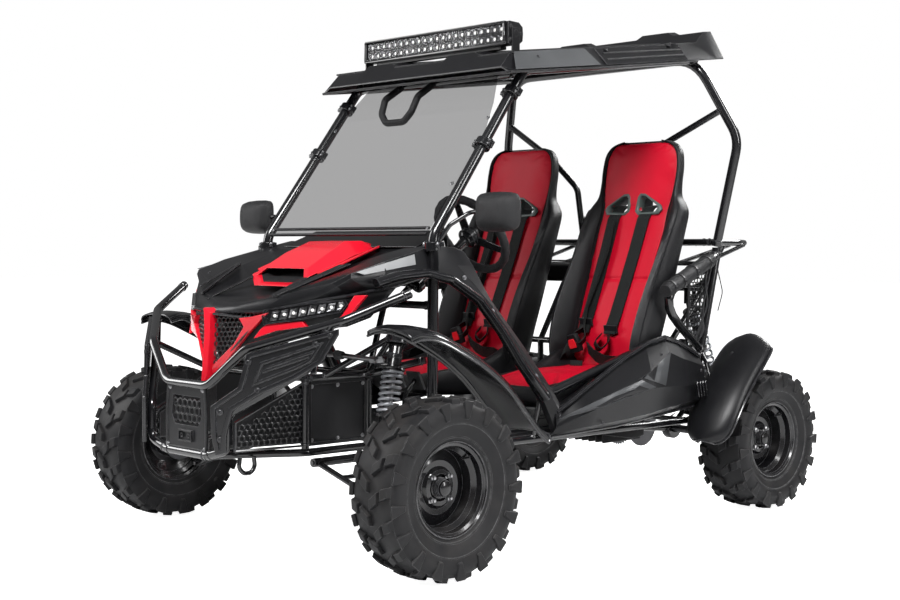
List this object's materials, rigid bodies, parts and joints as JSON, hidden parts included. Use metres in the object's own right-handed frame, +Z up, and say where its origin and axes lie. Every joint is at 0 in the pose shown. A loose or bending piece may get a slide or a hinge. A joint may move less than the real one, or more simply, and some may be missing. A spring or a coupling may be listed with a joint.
{
  "type": "off road go kart",
  "caption": "Two-seat off road kart: tube frame with roof, coil sprung wheels, bucket seats, rack steering, folding light bar and rear rack.",
  "frame": {"origin": "on the ground under the middle of the whole length and width", "axes": "+X to the driver's left, +Y to the rear, +Z up"},
  "size_m": [1.594, 2.417, 1.7865],
  "materials": {
    "frame_paint": "gloss black powder coat",
    "black_plastic": "satin moulded",
    "red_plastic": "gloss moulded",
    "smoke_pane": "smoke tinted clear sheet",
    "seat_vinyl": "stitched vinyl",
    "webbing": "woven belt",
    "rubber_grip": "moulded rubber",
    "tyre_rubber": "lugged off road tread",
    "rim_paint": "gloss black",
    "spring_steel": "silver painted",
    "bare_steel": "plain",
    "lamp_lens": "clear lens over reflectors",
    "engine_alloy": "cast, painted"
  },
  "bodies": {
    "chassis": {"floor_frame": "frame_paint", "front_frame": "frame_paint", "rear_frame": "frame_paint", "roll_cage": "frame_paint", "roof_panel": "black_plastic", "windshield": "smoke_pane", "hood": "black_plastic", "hood_scoop": "red_plastic", "nose_trim": "red_plastic", "front_grille": "black_plastic", "headlight_left": "lamp_lens", "headlight_right": "lamp_lens", "dashboard": "black_plastic", "front_bumper": "frame_paint", "bumper_fairing_left": "black_plastic", "bumper_fairing_right": "black_plastic", "front_fender_left": "black_plastic", "front_fender_right": "black_plastic", "side_panel_left": "black_plastic", "side_panel_right": "black_plastic", "rear_fender_left": "black_plastic", "rear_fender_right": "black_plastic", "seat_left": "seat_vinyl", "seat_right": "seat_vinyl", "harness_left": "webbing", "harness_right": "webbing", "engine": "engine_alloy"},
    "light_bar_body": {"light_bar": "lamp_lens"},
    "steering_wheel_body": {"steering_wheel": "rubber_grip"},
    "rack_body": {"steering_rack": "bare_steel", "tie_rod_left": "bare_steel", "tie_rod_right": "bare_steel"},
    "swing_body": {"swing_arm": "frame_paint"},
    "rear_wheels_body": {"rear_axle": "bare_steel", "rear_rim_left": "rim_paint", "rear_rim_right": "rim_paint", "rear_tyre_left": "tyre_rubber", "rear_tyre_right": "tyre_rubber"},
    "throttle_body": {"throttle_pedal": "bare_steel"},
    "brake_body": {"brake_pedal": "bare_steel"},
    "strut_left_body": {"strut_tube_left": "bare_steel", "front_spring_left": "spring_steel"},
    "knuckle_left_body": {"knuckle_left": "bare_steel"},
    "front_wheel_left_body": {"front_rim_left": "rim_paint", "front_tyre_left": "tyre_rubber"},
    "lower_arm_left_body": {"lower_arm_left": "frame_paint"},
    "mirror_left_body": {"mirror_left": "rubber_grip"},
    "shock_tube_left_body": {"rear_shock_tube_left": "bare_steel", "rear_spring_left": "spring_steel"},
    "shock_rod_left_body": {"rear_shock_rod_left": "bare_steel"},
    "strut_right_body": {"strut_tube_right": "bare_steel", "front_spring_right": "spring_steel"},
    "knuckle_right_body": {"knuckle_right": "bare_steel"},
    "front_wheel_right_body": {"front_rim_right": "rim_paint", "front_tyre_right": "tyre_rubber"},
    "lower_arm_right_body": {"lower_arm_right": "frame_paint"},
    "mirror_right_body": {"mirror_right": "rubber_grip"},
    "shock_tube_right_body": {"rear_shock_tube_right": "bare_steel", "rear_spring_right": "spring_steel"},
    "shock_rod_right_body": {"rear_shock_rod_right": "bare_steel"}
  },
  "joints": [
    {"name": "steer_left", "type": "hinge", "parent": "chassis", "child": "strut_left_body", "pos_m": [0.472, -0.8095, 0.267], "axis": [-0.0745, 0.2419, 0.9674], "range_deg": [-25, 25]},
    {"name": "suspension_left", "type": "slide", "parent": "strut_left_body", "child": "knuckle_left_body", "axis": [-0.0745, 0.2419, 0.9674], "range_m": [-0.03, 0.04], "stiffness_N_per_m": 24000, "springref_m": -0.03, "deforming": ["front_spring_left"]},
    {"name": "front_wheel_spin_left", "type": "hinge", "parent": "knuckle_left_body", "child": "front_wheel_left_body", "pos_m": [0.709, -0.7855, 0.267], "axis": [1, 0, 0], "continuous": true},
    {"name": "lower_arm_left_pivot", "type": "hinge", "parent": "chassis", "child": "lower_arm_left_body", "pos_m": [0.25, -0.7855, 0.296], "axis": [0, -1, 0], "range_deg": [-7.6, 10.1]},
    {"name": "mirror_left_tilt", "type": "hinge", "parent": "chassis", "child": "mirror_left_body", "pos_m": [0.531, -0.4615, 1.066], "axis": [1, 0, 0], "range_deg": [-20, 20]},
    {"name": "shock_left_swing", "type": "hinge", "parent": "chassis", "child": "shock_tube_left_body", "pos_m": [0.3, 0.9225, 0.765], "axis": [1, 0, 0], "range_deg": [-1, 1.4]},
    {"name": "shock_left_stroke", "type": "slide", "parent": "shock_tube_left_body", "child": "shock_rod_left_body", "axis": [0, 0.3932, -0.9194], "range_m": [-0.072, 0.055], "deforming": ["rear_spring_left"]},
    {"name": "steer_right", "type": "hinge", "parent": "chassis", "child": "strut_right_body", "pos_m": [-0.472, -0.8095, 0.267], "axis": [0.0745, 0.2419, 0.9674], "range_deg": [-25, 25]},
    {"name": "suspension_right", "type": "slide", "parent": "strut_right_body", "child": "knuckle_right_body", "axis": [0.0745, 0.2419, 0.9674], "range_m": [-0.03, 0.04], "stiffness_N_per_m": 24000, "springref_m": -0.03, "deforming": ["front_spring_right"]},
    {"name": "front_wheel_spin_right", "type": "hinge", "parent": "knuckle_right_body", "child": "front_wheel_right_body", "pos_m": [-0.709, -0.7855, 0.267], "axis": [1, 0, 0], "continuous": true},
    {"name": "lower_arm_right_pivot", "type": "hinge", "parent": "chassis", "child": "lower_arm_right_body", "pos_m": [-0.25, -0.7855, 0.296], "axis": [0, 1, 0], "range_deg": [-7.6, 10.1]},
    {"name": "mirror_right_tilt", "type": "hinge", "parent": "chassis", "child": "mirror_right_body", "pos_m": [-0.531, -0.4615, 1.066], "axis": [1, 0, 0], "range_deg": [-20, 20]},
    {"name": "shock_right_swing", "type": "hinge", "parent": "chassis", "child": "shock_tube_right_body", "pos_m": [-0.3, 0.9225, 0.765], "axis": [1, 0, 0], "range_deg": [-1, 1.4]},
    {"name": "shock_right_stroke", "type": "slide", "parent": "shock_tube_right_body", "child": "shock_rod_right_body", "axis": [0, 0.3932, -0.9194], "range_m": [-0.072, 0.055], "deforming": ["rear_spring_right"]},
    {"name": "rack_travel", "type": "slide", "parent": "chassis", "child": "rack_body", "axis": [1, 0, 0], "range_m": [-0.0282, 0.0282]},
    {"name": "steering_wheel_turn", "type": "hinge", "parent": "chassis", "child": "steering_wheel_body", "pos_m": [0.3, -0.2605, 1], "axis": [0, 0.8288, 0.5595], "range_deg": [-181, 181]},
    {"name": "swing_arm_pivot", "type": "hinge", "parent": "chassis", "child": "swing_body", "pos_m": [0, 0.5765, 0.29], "axis": [1, 0, 0], "range_deg": [-6, 8], "stiffness_Nm_per_rad": 9000, "springref_deg": -5.73},
    {"name": "rear_axle_spin", "type": "hinge", "parent": "swing_body", "child": "rear_wheels_body", "pos_m": [0, 0.9375, 0.257], "axis": [1, 0, 0], "continuous": true},
    {"name": "light_bar_tilt", "type": "hinge", "parent": "chassis", "child": "light_bar_body", "pos_m": [0, -0.1335, 1.668], "axis": [1, 0, 0], "range_deg": [-25, 25]},
    {"name": "throttle_press", "type": "hinge", "parent": "chassis", "child": "throttle_body", "pos_m": [0.25, -0.6005, 0.378], "axis": [1, 0, 0], "range_deg": [0, 18], "stiffness_Nm_per_rad": 8, "springref_deg": -8.59},
    {"name": "brake_press", "type": "hinge", "parent": "chassis", "child": "brake_body", "pos_m": [0.342, -0.6005, 0.378], "axis": [1, 0, 0], "range_deg": [0, 11], "stiffness_Nm_per_rad": 12, "springref_deg": -8.59}
  ],
  "couplings": [
    {"joint": "steer_right", "follows": "steer_left", "ratio": 1},
    {"joint": "rack_travel", "follows": "steer_left", "m_per_rad": 0.0638},
    {"joint": "steering_wheel_turn", "follows": "steer_left", "ratio": 7.2},
    {"joint": "lower_arm_left_pivot", "follows": "suspension_left", "rad_per_m": 4.3},
    {"joint": "lower_arm_right_pivot", "follows": "suspension_right", "rad_per_m": 4.3},
    {"joint": "shock_left_swing", "follows": "swing_arm_pivot", "ratio": 0.14},
    {"joint": "shock_right_swing", "follows": "swing_arm_pivot", "ratio": 0.14},
    {"joint": "shock_left_stroke", "follows": "swing_arm_pivot", "m_per_rad": -0.505},
    {"joint": "shock_right_stroke", "follows": "swing_arm_pivot", "m_per_rad": -0.505}
  ]
}
